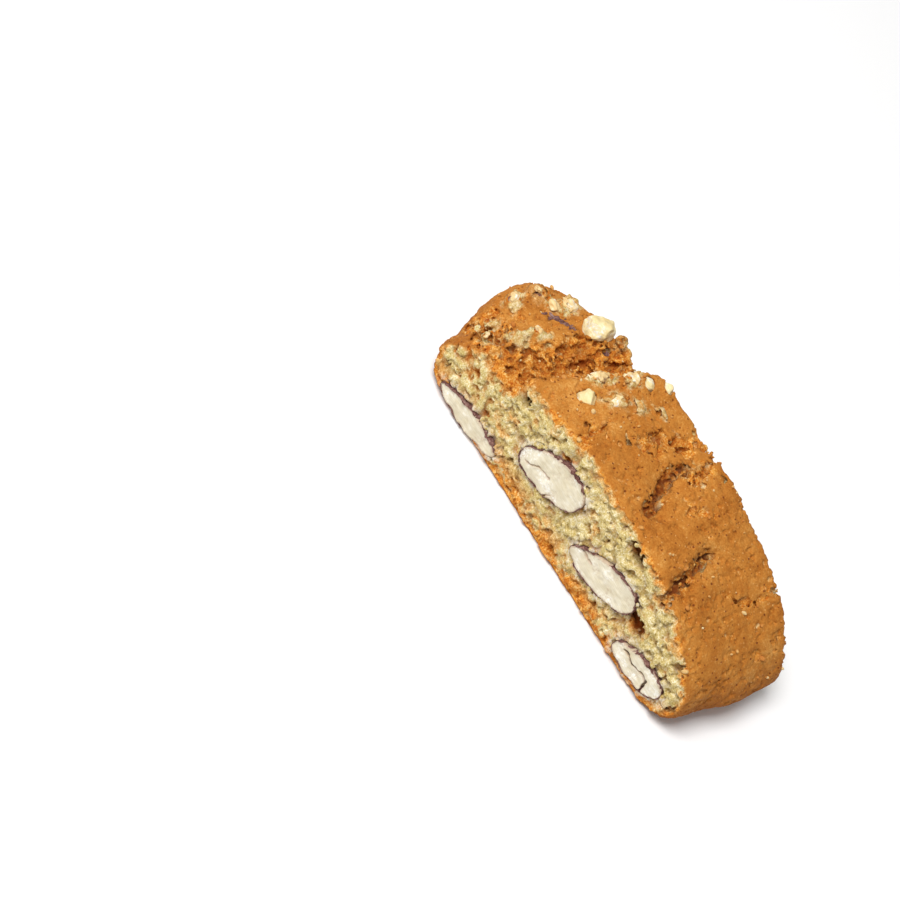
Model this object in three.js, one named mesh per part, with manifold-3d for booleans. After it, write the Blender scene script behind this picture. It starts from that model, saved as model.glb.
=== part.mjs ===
// One slice of almond biscotti, lying on its flat baked base.
// X runs along the slice, Y from one knife cut to the other, and Z up from the base. Millimetres.
// A domed loaf of sweet dough is baked, cut across into slices, and baked again. So the slice has a
// browned crust over its crown and ends, two flat cut faces of pale crumb, whole almonds cut through
// by the knife, and chips of almond baked into the crust beside a deep burst in the crown.

import * as THREE from 'three';
import { mergeVertices } from 'three/addons/utils/BufferGeometryUtils.js';
import Module from 'manifold-3d';

const wasm = await Module();
wasm.setup();

// ---- Driving dimensions ----

const THICKNESS = 27;
const FRONT_Y = -THICKNESS / 2;
const BACK_Y = THICKNESS / 2;

// The loaf widens a little from the front cut to the back one.
const FRONT_CUT = { left: -41.0, right: 40.4, crown: 26.0 };
const BACK_CUT = { left: -44.0, right: 43.4, crown: 27.1 };
const WIDENING_EASE = 0.6;

// The crown is a superellipse above the shoulder, and the base has rounded corners below it.
const SHOULDER_Z = 7.8;
const CROWN_X_POWER = 2 / 2.53;
const CROWN_Z_POWER = 2 / 1.54;
const CORNER = { left: 5.7, right: 10 };

// How finely the slice is divided along X, along Y, and up each cut face.
const COLUMNS = 48;
const ROWS = 13;
const LEVELS = 7;
const CHIP_DETAIL = 2;
const HOLLOW_DETAIL = 1;

const ALMOND_SIDES = 16;
const ALMOND_RINGS = 12;

const CLEARANCE = 0.3;
const KNIFE_BLOCK = 60;
const MERGE_DISTANCE = 1e-4;

// Uneven surfaces are sums of waves: [wavelength, direction in degrees, height, phase] of each.
const CRUST_WAVES = [
  [23, 20, 0.3, 0.4],
  [14, 105, 0.12, 2.1],
  [9, 60, 0.08, 4.0],
];
const CRUST_WAVE_LEAN = 0.6;

// The crumb has crumbled back from the knife's plane by this much on average, give or take its waves.
const CRUMB_SETBACK = 0.36;
const CRUMB_WAVES = [
  [6.9, 29, 0.12, 0],
  [5.7, 110, 0.11, 0.6],
  [3.0, 67, 0.06, 2],
  [2.5, 155, 0.05, 1],
];

// A broken lump is a ball of radius 1 with these waves, cut off at its reach, and then stretched.
const LUMP_WAVES = [
  [1.6, 20, 0.06, 1],
  [1.2, 100, 0.05, 0],
  [0.9, 60, 0.04, 2],
];
const LUMP_WAVE_LEAN = 0.5;
const LUMP_REACH = 1.02;

// A lip stands beside a burst, this far out and this wide in half widths of the burst.
const LIP_PLACE = 1.3;
const LIP_WIDTH = 0.6;

// Places where the dough swelled out as it baked.
const SWELLINGS = [
  { at: [-41, 2, 14], radius: 13, height: 4.6 },
  { at: [-41, 9, 16], radius: 8, height: 2.4 },
  { at: [-34, -7, 19], radius: 7, height: 1.2 },
  { at: [43, 2, 6], radius: 10, height: 1.2 },
  { at: [-16, 8, 27], radius: 8, height: 0.9 },
  { at: [38, -10, 14], radius: 9, height: 0.8 },
  { at: [9, 4, 26], radius: 12, height: 0.6 },
];

// Where the crust burst open: a path over the crown, with its half width, depth and raised lips.
const BURSTS = [
  {
    path: [[-29.7, -14], [-28.2, -10.8], [-26.5, -6.2], [-24.4, -1.9], [-24.6, 3.2], [-21.1, 6.8], [-17.5, 14]],
    halfWidth: 4.1, depth: 4.2, lip: 0.8,
  },
  { path: [[7.8, -7.6], [5.8, -4], [4.7, -1.1], [3, 2.7]], halfWidth: 2.0, depth: 2.0, lip: 0.2 },
  { path: [[23.1, -14], [22.2, -9], [20.4, -4], [19.7, 0.1]], halfWidth: 2.0, depth: 1.2, lip: 0.1 },
  { path: [[-2.9, 0.2], [-2.5, 3.9], [-0.4, 6.8], [1.8, 11.4]], halfWidth: 2.6, depth: 0.5, lip: 0.1 },
];

// The almonds cut by the knife: x and z of the section's middle, its length and height, its tilt in
// degrees, how much thicker its right end is, how pointed it is, and how deep it goes into the crumb.
// At ROUND_ENDS an almond is a plain ellipsoid.
const ROUND_ENDS = 0.5;
const FRONT_ALMONDS = [
  { x: -27.3, z: 3.4, length: 18.2, height: 5.2, tilt: 3.5, taper: 0.02, point: 0.66, depth: 7 },
  { x: -8.0, z: 14.1, length: 17.6, height: 9.6, tilt: 25, taper: 0.16, point: 0.5, depth: 6 },
  { x: 12.4, z: 11.0, length: 17.8, height: 7.8, tilt: 20, taper: 0.2, point: 0.48, depth: 6.5 },
  { x: 29.3, z: 5.5, length: 13.8, height: 6.6, tilt: 10, taper: 0.1, point: 0.5, depth: 6.5 },
];
const BACK_ALMONDS = [
  { x: -22.5, z: 11.8, length: 18.4, height: 7.4, tilt: -18, taper: 0.12, point: 0.52, depth: 6 },
  { x: 3.5, z: 7.4, length: 19.2, height: 8.6, tilt: 9, taper: -0.15, point: 0.5, depth: 6 },
  { x: 25.5, z: 13.2, length: 15.6, height: 6.6, tilt: -24, taper: 0.18, point: 0.55, depth: 5.5 },
];

// Chips of almond baked into the crust: middle, half sizes, and turns about X, Y and Z in degrees.
const NUT_CHIPS = [
  { at: [-28.2, 9.6, 22.9], half: [4.4, 2.9, 2.2], turn: [-6, -22, 48] },
  { at: [-16.4, -5.0, 24.7], half: [2.5, 1.9, 1.5], turn: [4, -14, 38] },
  { at: [-13.8, 8.4, 26.4], half: [2.1, 1.5, 1.3], turn: [0, 6, 24] },
  { at: [-11.6, 12.0, 26.8], half: [1.7, 1.1, 1.2], turn: [8, 0, -20] },
];

// Hollows in the crumb at a cut face: middle, half sizes, and turn about Y in degrees.
const HOLLOWS = [
  { at: [13.6, FRONT_Y, 21.6], half: [2.3, 3.2, 1.3], turn: -16 },
  { at: [23.2, FRONT_Y, 10.6], half: [3.1, 4.0, 1.9], turn: -28 },
  { at: [33.9, FRONT_Y, 14.6], half: [1.1, 2.6, 1.5], turn: 0 },
  { at: [-23.4, FRONT_Y, 19.6], half: [2.5, 2.6, 1.4], turn: -18 },
  { at: [-12.0, BACK_Y, 19.8], half: [2.4, 2.8, 1.3], turn: 12 },
  { at: [15.0, BACK_Y, 16.2], half: [1.8, 3.2, 1.5], turn: 30 },
];

const CRUST_COLOUR = 0xc4834a;
const ALMOND_COLOUR = 0xd9d2c0;

// ---- Solids and meshes ----

function toSolid(geometry) {
  const bare = geometry.clone();
  bare.deleteAttribute('normal');
  bare.deleteAttribute('uv');
  const merged = mergeVertices(bare, MERGE_DISTANCE);
  const vertProperties = new Float32Array(merged.attributes.position.array);
  const triVerts = new Uint32Array(merged.index.array);
  return new wasm.Manifold(new wasm.Mesh({ numProp: 3, vertProperties, triVerts }));
}

function toGeometry(solid) {
  const { vertProperties, triVerts } = solid.getMesh();
  const geometry = new THREE.BufferGeometry();
  geometry.setAttribute('position', new THREE.BufferAttribute(vertProperties, 3));
  geometry.setIndex(new THREE.BufferAttribute(triVerts, 1));
  geometry.computeVertexNormals();
  return geometry;
}

function moveEachVertex(geometry, move) {
  const position = geometry.attributes.position;
  const point = new THREE.Vector3();
  for (let i = 0; i < position.count; i++) {
    point.fromBufferAttribute(position, i);
    move(point);
    position.setXYZ(i, point.x, point.y, point.z);
  }
  return geometry;
}

function placed(geometry, { at, turn }) {
  const angles = new THREE.Euler(...turn.map(THREE.MathUtils.degToRad));
  const matrix = new THREE.Matrix4().makeRotationFromEuler(angles).setPosition(...at);
  return geometry.clone().applyMatrix4(matrix);
}

// ---- The slice's outer form ----

function outlineAt(y) {
  const share = (y - FRONT_Y) / THICKNESS;
  const eased = share ** WIDENING_EASE;
  return {
    left: THREE.MathUtils.lerp(FRONT_CUT.left, BACK_CUT.left, eased),
    right: THREE.MathUtils.lerp(FRONT_CUT.right, BACK_CUT.right, eased),
    crown: THREE.MathUtils.lerp(FRONT_CUT.crown, BACK_CUT.crown, share),
  };
}

function distanceToPath(x, y, path) {
  const point = new THREE.Vector3(x, y, 0);
  const nearest = new THREE.Vector3();
  let distance = Infinity;
  for (let i = 1; i < path.length; i++) {
    const piece = new THREE.Line3(new THREE.Vector3(...path[i - 1], 0), new THREE.Vector3(...path[i], 0));
    piece.closestPointToPoint(point, true, nearest);
    distance = Math.min(distance, nearest.distanceTo(point));
  }
  return distance;
}

// A smooth hill of height 1 that reaches 0 at the given width.
function hill(distance, width) {
  return distance < width ? 0.5 + 0.5 * Math.cos(Math.PI * distance / width) : 0;
}

function burstRelief(x, y, { path, halfWidth, depth, lip }) {
  const distance = distanceToPath(x, y, path);
  const lipDistance = Math.abs(distance - LIP_PLACE * halfWidth);
  return lip * hill(lipDistance, LIP_WIDTH * halfWidth) - depth * hill(distance, halfWidth);
}

function waveRelief(x, y, waves) {
  let height = 0;
  for (const [wavelength, direction, amount, phase] of waves) {
    const angle = THREE.MathUtils.degToRad(direction);
    const along = x * Math.cos(angle) + y * Math.sin(angle);
    height += amount * Math.sin(2 * Math.PI * along / wavelength + phase);
  }
  return height;
}

// How far the crust stands out from the plain outline at a point of it.
function crustRelief(point) {
  let height = waveRelief(point.x + CRUST_WAVE_LEAN * point.z, point.y, CRUST_WAVES);
  for (const { at, radius, height: amount } of SWELLINGS) {
    height += amount * hill(point.distanceTo(new THREE.Vector3(...at)), radius);
  }
  for (const burst of BURSTS) {
    height += burstRelief(point.x, point.y, burst);
  }
  return height;
}

function signedPower(value, power) {
  return Math.sign(value) * Math.abs(value) ** power;
}

function baseHeight(x, outline) {
  const fromLeft = (outline.left + CORNER.left - x) / CORNER.left;
  const fromRight = (x - outline.right + CORNER.right) / CORNER.right;
  const inCorner = THREE.MathUtils.clamp(Math.max(fromLeft, fromRight), 0, 1);
  return SHOULDER_Z * (1 - Math.sqrt(1 - inCorner ** 2));
}

// The top and bottom points of one column of the slice. They meet at the two ends.
function columnEnds(column, y) {
  const outline = outlineAt(y);
  const angle = Math.PI * (1 - column / COLUMNS);
  const across = signedPower(Math.cos(angle), CROWN_X_POWER);
  const up = Math.abs(Math.sin(angle)) ** CROWN_Z_POWER;
  const x = (outline.left + outline.right) / 2 + across * (outline.right - outline.left) / 2;
  const top = new THREE.Vector3(x, y, SHOULDER_Z + up * (outline.crown - SHOULDER_Z));
  const relief = crustRelief(top);
  const movedX = x + relief * Math.cos(angle);
  const atEnd = column === 0 || column === COLUMNS;
  const bottom = new THREE.Vector3(movedX, y, atEnd ? SHOULDER_Z : baseHeight(x, outline));
  top.set(movedX, y, atEnd ? SHOULDER_Z : top.z + relief * Math.sin(angle));
  return { top, bottom };
}

// Builds the closed mesh as vertices shared by numbered grids.
function sliceGeometry() {
  const positions = [];
  const indices = [];
  const addVertex = ({ x, y, z }) => positions.push(x, y, z) / 3 - 1;
  const addTriangle = (a, b, c) => {
    if (a !== b && b !== c && c !== a) {
      indices.push(a, b, c);
    }
  };
  const addGrid = (grid, flip) => {
    for (let i = 1; i < grid.length; i++) {
      for (let j = 1; j < grid[i].length; j++) {
        const corners = [grid[i - 1][j - 1], grid[i][j - 1], grid[i][j], grid[i - 1][j]];
        const [a, b, c, d] = flip ? corners.reverse() : corners;
        addTriangle(a, b, c);
        addTriangle(a, c, d);
      }
    }
  };

  const ends = [];
  const topGrid = [];
  const bottomGrid = [];
  for (let column = 0; column <= COLUMNS; column++) {
    const atEnd = column === 0 || column === COLUMNS;
    const rows = [];
    for (let row = 0; row <= ROWS; row++) {
      rows.push(columnEnds(column, FRONT_Y + THICKNESS * row / ROWS));
    }
    ends.push(rows);
    topGrid.push(rows.map(({ top }) => addVertex(top)));
    bottomGrid.push(atEnd ? topGrid[column] : rows.map(({ bottom }) => addVertex(bottom)));
  }
  addGrid(topGrid, false);
  addGrid(bottomGrid, true);

  for (const row of [0, ROWS]) {
    const inward = row === 0 ? 1 : -1;
    const face = [];
    for (let column = 0; column <= COLUMNS; column++) {
      const { top, bottom } = ends[column][row];
      const levels = [bottomGrid[column][row]];
      for (let level = 1; level < LEVELS; level++) {
        if (top.equals(bottom)) {
          levels.push(topGrid[column][row]);
          continue;
        }
        const point = bottom.clone().lerp(top, level / LEVELS);
        point.y += inward * (CRUMB_SETBACK + waveRelief(point.x, point.z, CRUMB_WAVES));
        levels.push(addVertex(point));
      }
      levels.push(topGrid[column][row]);
      face.push(levels);
    }
    addGrid(face, row === ROWS);
  }

  const geometry = new THREE.BufferGeometry();
  geometry.setAttribute('position', new THREE.Float32BufferAttribute(positions, 3));
  geometry.setIndex(indices);
  return geometry;
}

// ---- Almonds, chips and hollows ----

// A whole almond about the origin, long along X and flattest along Z, grown by a clearance.
function wholeAlmond({ length, height, taper, point, depth }, grow) {
  const geometry = new THREE.SphereGeometry(1, ALMOND_SIDES, ALMOND_RINGS).rotateZ(Math.PI / 2);
  return moveEachVertex(geometry, (p) => {
    const towardTip = Math.max(1 - p.x ** 2, Number.EPSILON);
    const narrowing = towardTip ** (point - ROUND_ENDS) * (1 + taper * p.x);
    p.y *= narrowing * (depth + grow);
    p.z *= narrowing * (height / 2 + grow);
    p.x *= length / 2 + grow;
  });
}

// The half of the almond that the knife left in this slice, cut flat at y = 0.
function cutAlmond(almond) {
  const kept = new THREE.BoxGeometry(KNIFE_BLOCK, KNIFE_BLOCK, KNIFE_BLOCK).translate(0, KNIFE_BLOCK / 2, 0);
  return toGeometry(toSolid(wholeAlmond(almond, 0)).intersect(toSolid(kept)));
}

// An uneven broken lump with the given half sizes.
function lump(half, grow, detail) {
  const geometry = new THREE.IcosahedronGeometry(1, detail);
  return moveEachVertex(geometry, (p) => {
    const broken = 1 + waveRelief(p.x + LUMP_WAVE_LEAN * p.z, p.y, LUMP_WAVES);
    p.multiplyScalar(broken).clampLength(0, LUMP_REACH);
    p.set(p.x * (half[0] + grow), p.y * (half[1] + grow), p.z * (half[2] + grow));
  });
}

function almondPlace({ x, z, tilt }, isFront) {
  return isFront
    ? { at: [x, FRONT_Y, z], turn: [0, -tilt, 0] }
    : { at: [x, BACK_Y, z], turn: [0, -tilt, 180] };
}

function biscuitGeometry(almondPlaces) {
  let solid = toSolid(sliceGeometry());
  for (const { almond, place } of almondPlaces) {
    solid = solid.subtract(toSolid(placed(wholeAlmond(almond, CLEARANCE), place)));
  }
  for (const chip of NUT_CHIPS) {
    solid = solid.subtract(toSolid(placed(lump(chip.half, CLEARANCE, CHIP_DETAIL), chip)));
  }
  for (const { at, half, turn } of HOLLOWS) {
    solid = solid.subtract(toSolid(placed(lump(half, 0, HOLLOW_DETAIL), { at, turn: [0, turn, 0] })));
  }
  return toGeometry(solid);
}

// ---- The scene graph ----

function namedMesh(name, geometry, material) {
  const mesh = new THREE.Mesh(geometry, material);
  mesh.name = name;
  return mesh;
}

function placeMesh(mesh, { at, turn }) {
  mesh.position.set(...at);
  mesh.rotation.set(...turn.map(THREE.MathUtils.degToRad));
  return mesh;
}

function crustMaterial() {
  return new THREE.MeshStandardMaterial({ color: CRUST_COLOUR, roughness: 0.9, metalness: 0 });
}

function almondMaterial() {
  return new THREE.MeshStandardMaterial({ color: ALMOND_COLOUR, roughness: 0.75, metalness: 0 });
}

const almondPlaces = [
  ...FRONT_ALMONDS.map((almond) => ({ almond, place: almondPlace(almond, true) })),
  ...BACK_ALMONDS.map((almond) => ({ almond, place: almondPlace(almond, false) })),
];

const slice = new THREE.Group();
slice.add(namedMesh('biscuit', biscuitGeometry(almondPlaces), crustMaterial()));
almondPlaces.forEach(({ almond, place }, index) => {
  const mesh = namedMesh(`almond_${index + 1}`, cutAlmond(almond), almondMaterial());
  slice.add(placeMesh(mesh, place));
});
NUT_CHIPS.forEach((chip, index) => {
  const mesh = namedMesh(`nut_chip_${index + 1}`, lump(chip.half, 0, CHIP_DETAIL), almondMaterial());
  slice.add(placeMesh(mesh, chip));
});

// The origin is the middle of the box that holds the slice, at the level of its base.
const biscotto = new THREE.Group();
biscotto.add(slice);
const bounds = new THREE.Box3().setFromObject(slice, true);
const middle = bounds.getCenter(new THREE.Vector3());
slice.position.set(-middle.x, -middle.y, -bounds.min.z);

export default biscotto;
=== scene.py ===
# A slice of almond biscotti: its looks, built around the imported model. Lengths are in millimetres
# unless a name says metres, and every mesh is turned into metres when it is made.

import math

import bmesh
import bpy
import numpy as np
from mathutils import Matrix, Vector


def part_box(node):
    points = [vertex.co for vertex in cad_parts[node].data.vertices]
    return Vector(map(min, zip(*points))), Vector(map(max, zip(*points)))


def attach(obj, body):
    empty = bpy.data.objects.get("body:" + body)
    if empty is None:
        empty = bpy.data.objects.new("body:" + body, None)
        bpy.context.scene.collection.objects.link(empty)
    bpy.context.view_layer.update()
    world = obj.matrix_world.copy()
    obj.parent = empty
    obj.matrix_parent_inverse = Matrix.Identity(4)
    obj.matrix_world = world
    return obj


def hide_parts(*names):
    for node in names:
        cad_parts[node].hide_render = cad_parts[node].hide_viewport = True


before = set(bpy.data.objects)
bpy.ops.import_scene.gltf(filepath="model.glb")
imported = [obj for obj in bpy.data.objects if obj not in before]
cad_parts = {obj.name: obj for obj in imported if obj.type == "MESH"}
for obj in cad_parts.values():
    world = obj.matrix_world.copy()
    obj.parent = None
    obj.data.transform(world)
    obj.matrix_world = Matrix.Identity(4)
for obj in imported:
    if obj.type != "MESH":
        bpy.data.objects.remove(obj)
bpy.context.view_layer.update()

import openvdb
from mathutils import Matrix, Vector
from mathutils.bvhtree import BVHTree

METRE = 1000.0

# ---- Camera, floor and light ----

FOCAL_LENGTH = 100.0
CAMERA_AZIMUTH = 17.65
CAMERA_ELEVATION = 47.74
CAMERA_ROLL = 44.3
CAMERA_DISTANCE = 448.3
AIM_FROM_BASE_CENTRE = (-19.1, -30.2, 14.0)
FLOOR_SIZE = 4000.0

# ---- The slice ----

CUT_Y = 13.5
CELL = 0.25
MARGIN = (2.5, 3.0, 2.5)
FIELD_REACH = 3.0
DOUGH_TRIANGLES = 196000
EDGE_ROUNDING = 1.8
CROWN_RISE = (5.0, 8.0)
CLUMP_BAND = (-2.6, 0.6)
SEED = 11
BREAK_SEED = 5
WAVELENGTHS = (0.7, 1.2, 2.2, 4.5, 9.0)
CLUMP_SIZES = {"big": 3.1, "middle": 1.45, "small": 0.75}

# Where the crust burst open, as paths over the crown in x and y, with the half width of the opening,
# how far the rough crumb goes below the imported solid's own valley, and how ragged the edge is.
BURSTS = [
    {"path": [(-29, -14), (-27.4, -10.8), (-25.7, -6.2), (-23.6, -1.9), (-23.8, 3.4), (-20.3, 6.8),
              (-17, 14)],
     "half_width": 4.2, "depth": 0.9, "ragged": 1.1},
    {"path": [(-33, -14), (-33.5, -11), (-36, -8), (-40, -6)],
     "half_width": 2.6, "depth": 0.4, "ragged": 1.6},
    {"path": [(8.6, -7.6), (6.6, -4), (5.5, -1.1), (3.8, 2.7)],
     "half_width": 1.1, "depth": 1.7, "ragged": 0.7},
    {"path": [(23.9, -14), (23.5, -11.4), (22.1, -6.7), (20.9, -3.3), (20.5, 0.1)],
     "half_width": 0.9, "depth": 1.5, "ragged": 0.6},
    {"path": [(-2.1, 0.2), (-1.7, 3.9), (0.4, 6.8), (2.6, 11.4)],
     "half_width": 1.7, "depth": 0.8, "ragged": 1.4},
    {"path": [(7, 3.8), (7.3, 10.3)], "half_width": 1.2, "depth": 0.7, "ragged": 1.2},
    {"path": [(28, -0.5), (30, 2.6), (31.3, 6.6), (32.1, 11.3)],
     "half_width": 0.4, "depth": 0.8, "ragged": 0.7},
    {"path": [(-9, -9), (-7.5, -12.5)], "half_width": 0.9, "depth": 0.6, "ragged": 1.0},
    {"path": [(12, -2), (15, 6)], "half_width": 0.1, "depth": 0.7, "ragged": 1.0},
]

# Open cracks in the crust: a path in x and y, the half width, and the depth.
CRACKS = [
    {"path": [(9.4, -8.4), (8.2, -6.2), (6.6, -4), (5.6, -1.1), (3.8, 2.7), (4.4, 4.6)],
     "half_width": 1.0, "depth": 2.4},
    {"path": [(24.2, -14), (23.5, -11.4), (22.1, -6.7), (20.9, -3.3), (20.5, 0.1)],
     "half_width": 0.9, "depth": 2.2},
]

# Hollows in the cut faces: middle, half sizes along X, Y and Z, and tilt about Y in degrees.
HOLLOWS = [
    {"at": (14.3, -CUT_Y, 21.4), "half": (3.2, 4.2, 1.7), "tilt": -14},
    {"at": (23.6, -CUT_Y, 11.2), "half": (3.2, 4.6, 2.0), "tilt": -28},
    {"at": (21.0, -CUT_Y, 8.3), "half": (2.6, 1.6, 1.8), "tilt": -20},
    {"at": (34.7, -CUT_Y, 14.7), "half": (1.1, 2.6, 1.6), "tilt": 0},
    {"at": (-22.4, -CUT_Y, 19.4), "half": (3.2, 3.6, 1.7), "tilt": -18},
    {"at": (-11.2, CUT_Y, 19.8), "half": (2.4, 2.8, 1.3), "tilt": 12},
    {"at": (15.8, CUT_Y, 16.2), "half": (1.8, 3.2, 1.5), "tilt": 30},
]

# Lumps of dough that stand up from the crust: middle, half sizes, turn about Z in degrees, and how
# pale they stayed, from 0 for browned to 1 for bare crumb.
LUMPS = [
    {"at": (-40.2, 0.3, 17.0), "half": (1.9, 2.6, 1.6), "turn": 20, "pale": 0.8},
    {"at": (-39.4, 5.2, 18.6), "half": (3.0, 2.6, 2.0), "turn": 0, "pale": 0.2},
    {"at": (-32.6, -7.6, 20.4), "half": (2.8, 1.8, 1.5), "turn": 30, "pale": 0.9},
    {"at": (-31.6, -3.2, 21.2), "half": (2.6, 1.5, 1.3), "turn": 70, "pale": 1.0},
    {"at": (-36.6, -9.8, 16.2), "half": (2.6, 1.7, 1.4), "turn": 20, "pale": 1.0},
    {"at": (-38.4, -5.8, 15.2), "half": (2.0, 1.6, 1.4), "turn": 0, "pale": 0.9},
    {"at": (-35.4, 7.0, 19.6), "half": (2.8, 2.0, 1.5), "turn": 40, "pale": 1.0},
    {"at": (-35.0, 11.4, 18.8), "half": (2.0, 1.6, 1.2), "turn": 0, "pale": 0.9},
    {"at": (-17.6, 0.6, 25.4), "half": (1.5, 3.2, 1.2), "turn": -25, "pale": 1.0},
    {"at": (-14.9, 5.6, 26.8), "half": (1.6, 2.2, 0.9), "turn": 20, "pale": 0.9},
    {"at": (-12.4, -0.4, 26.3), "half": (2.6, 1.5, 0.9), "turn": 65, "pale": 0.8},
    {"at": (-18.6, 11.6, 24.6), "half": (1.8, 1.6, 1.3), "turn": 0, "pale": 0.8},
    {"at": (-22.8, 11.2, 24.2), "half": (1.7, 1.6, 1.6), "turn": 0, "pale": 0.6},
    {"at": (-9.4, 3.6, 26.9), "half": (1.6, 1.2, 0.8), "turn": 10, "pale": 0.7},
    {"at": (-7.1, 7.0, 26.9), "half": (1.3, 1.0, 0.7), "turn": 0, "pale": 0.7},
]

# Grooves in the cut almonds, in x and z on the cut face, with their half width and depth.
GROOVES = {
    "almond_2": [
        {"path": [(-12.6, 10.9), (-11.9, 11.8), (-10.1, 13.1), (-7.5, 14.1)],
         "half_width": 0.16, "depth": 0.35},
        {"path": [(-6.4, 9.0), (-4.2, 10.6)], "half_width": 0.14, "depth": 0.4},
    ],
    "almond_3": [{"path": [(6.6, 11.2), (8.4, 10.7), (10.1, 10.6)], "half_width": 0.3, "depth": 0.35}],
    "almond_4": [
        {"path": [(25.8, 5.8), (29.9, 5.7), (33.0, 6.1), (33.7, 3.0)], "half_width": 0.26, "depth": 1.6},
    ],
    "almond_6": [{"path": [(-1.5, 6.6), (3.5, 7.6), (9.0, 8.8)], "half_width": 0.2, "depth": 1.0}],
}

# Flakes of almond skin baked onto the crown: a path in x and y, and the half width.
SKIN_FLAKES = [
    {"path": [(-34.9, 3.0), (-33.4, 4.2), (-31.4, 4.9), (-29.4, 4.8)], "half_width": 0.55},
    {"path": [(-22.9, 8.9), (-22.2, 8.2)], "half_width": 0.4},
]

# The most a pale flake stands above the dough.
BIT_HEIGHT = 0.7

# Small flakes of broken almond and pale dough baked into the crown: middle, half sizes, tilt and turn.
# The ninth stands clear of the dough, so BIT_HEIGHT cuts away all of it but a sliver.
PALE_BITS = [
    {"at": (-17.6, 0.2, 25.9), "half": (1.2, 2.6, 0.7), "tilt": 20, "turn": -25},
    {"at": (-15.2, 5.4, 27.4), "half": (2.4, 1.3, 0.8), "tilt": -10, "turn": 30},
    {"at": (-12.2, -0.6, 26.4), "half": (1.7, 1.1, 0.6), "tilt": 10, "turn": 60},
    {"at": (-34.8, 9.4, 20.2), "half": (2.7, 1.7, 1.1), "tilt": -30, "turn": 30},
    {"at": (-35.6, 5.6, 20.2), "half": (1.8, 1.2, 0.8), "tilt": -25, "turn": 80},
    {"at": (-39.6, 4.6, 19.6), "half": (1.5, 0.9, 0.8), "tilt": -40, "turn": 20},
    {"at": (-40.6, 0.4, 17.6), "half": (1.4, 1.9, 0.9), "tilt": -50, "turn": 0},
    {"at": (-36.8, -9.8, 17.0), "half": (1.7, 1.0, 0.8), "tilt": -30, "turn": 40},
    {"at": (-18.8, 12.0, 25.0), "half": (1.6, 1.2, 0.9), "tilt": 10, "turn": 0},
    {"at": (-31.4, -2.6, 21.6), "half": (1.9, 1.0, 0.7), "tilt": -20, "turn": 70},
]


def smooth_step(low, high, value):
    """0 at low, 1 at high, with an even curve between."""
    share = np.clip((value - low) / (high - low), 0.0, 1.0)
    return share * share * (3.0 - 2.0 * share)


# ---------------------------------------------------------------------------------------------
# Fields of distances
# ---------------------------------------------------------------------------------------------


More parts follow.
